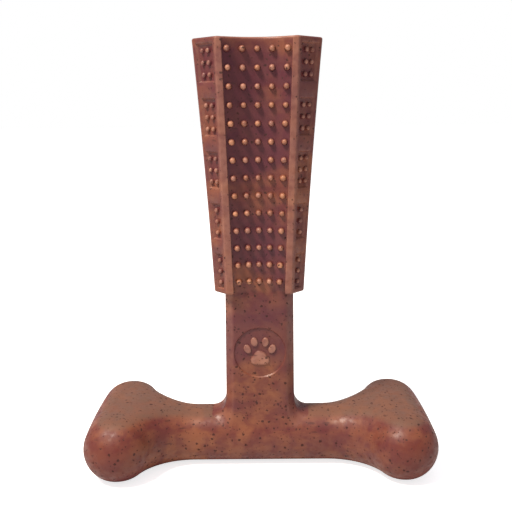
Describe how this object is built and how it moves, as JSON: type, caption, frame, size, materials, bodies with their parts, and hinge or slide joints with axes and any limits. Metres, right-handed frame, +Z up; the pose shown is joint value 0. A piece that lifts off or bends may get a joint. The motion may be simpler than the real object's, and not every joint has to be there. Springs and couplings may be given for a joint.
{
  "type": "pet toothbrush",
  "caption": "Rigid T-shaped dog chew toothbrush: bone-shaped paw bar, flat stem and a flared brush head with nubbed troughs and pocketed cheeks.",
  "frame": {"origin": "centre of the object's bounding box on its underside, where the bone-shaped bar rests", "axes": "+Z up the stem to the brush head; +X along the bone-shaped bar, to the right as seen from the front; -Y faces the front, where the badge is"},
  "size_m": [0.1266, 0.055, 0.1518],
  "materials": {
    "bone_plastic": "satin moulded nylon and plant fibre, fine dark specks",
    "stem_plastic": "satin moulded nylon and plant fibre, fine dark specks",
    "head_plastic": "satin moulded nylon and plant fibre, fine dark specks"
  },
  "bodies": {
    "root": {"paw_bar": "bone_plastic", "front_left_knuckle": "bone_plastic", "front_right_knuckle": "bone_plastic", "rear_left_knuckle": "bone_plastic", "rear_right_knuckle": "bone_plastic", "stem": "stem_plastic", "stem_badge": "stem_plastic", "head_core": "head_plastic", "front_nub_panel": "head_plastic", "rear_nub_panel": "head_plastic", "front_left_rib": "head_plastic", "front_right_rib": "head_plastic", "rear_left_rib": "head_plastic", "rear_right_rib": "head_plastic", "front_left_cheek": "head_plastic", "front_right_cheek": "head_plastic", "rear_left_cheek": "head_plastic", "rear_right_cheek": "head_plastic"}
  },
  "joints": []
}
